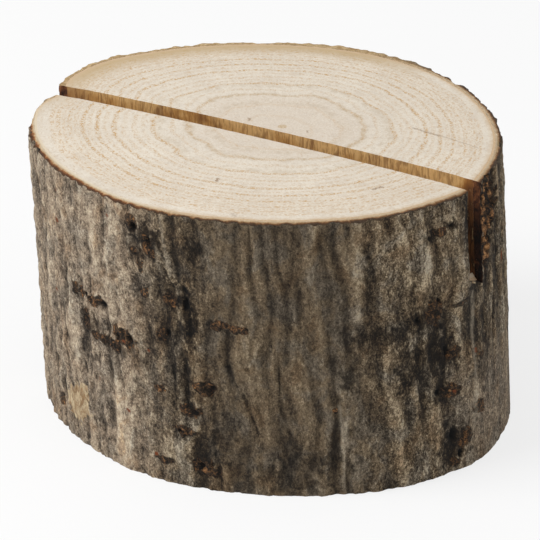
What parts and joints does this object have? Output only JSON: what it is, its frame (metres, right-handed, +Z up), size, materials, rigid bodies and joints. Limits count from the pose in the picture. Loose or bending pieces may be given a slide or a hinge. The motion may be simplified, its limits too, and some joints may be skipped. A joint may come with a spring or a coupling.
{
  "type": "place card holder",
  "caption": "Short length of natural branch with its bark on, sawn flat at both ends, with one straight saw slot across the top that holds a place card upright.",
  "frame": {"origin": "on the underside, straight below the middle of the card slot", "axes": "+Z up, out of the sawn top face; +X along the card slot; +Y across it, towards the half that holds the branch's core"},
  "size_m": [0.0644, 0.06, 0.038],
  "materials": {
    "sapwood": "sawn end grain, dry and matt, with faint growth rings; saw slot walls golden to dark brown",
    "pith": "soft dry core, matt",
    "inner_bark": "fibrous reddish-brown bast, matt",
    "outer_bark": "rough grey-brown bark with upright ridges, dark pits and orange-brown scabs, matt"
  },
  "bodies": {
    "root": {"wood_block": "sapwood", "pith": "pith", "inner_bark": "inner_bark", "outer_bark": "outer_bark"}
  },
  "joints": []
}
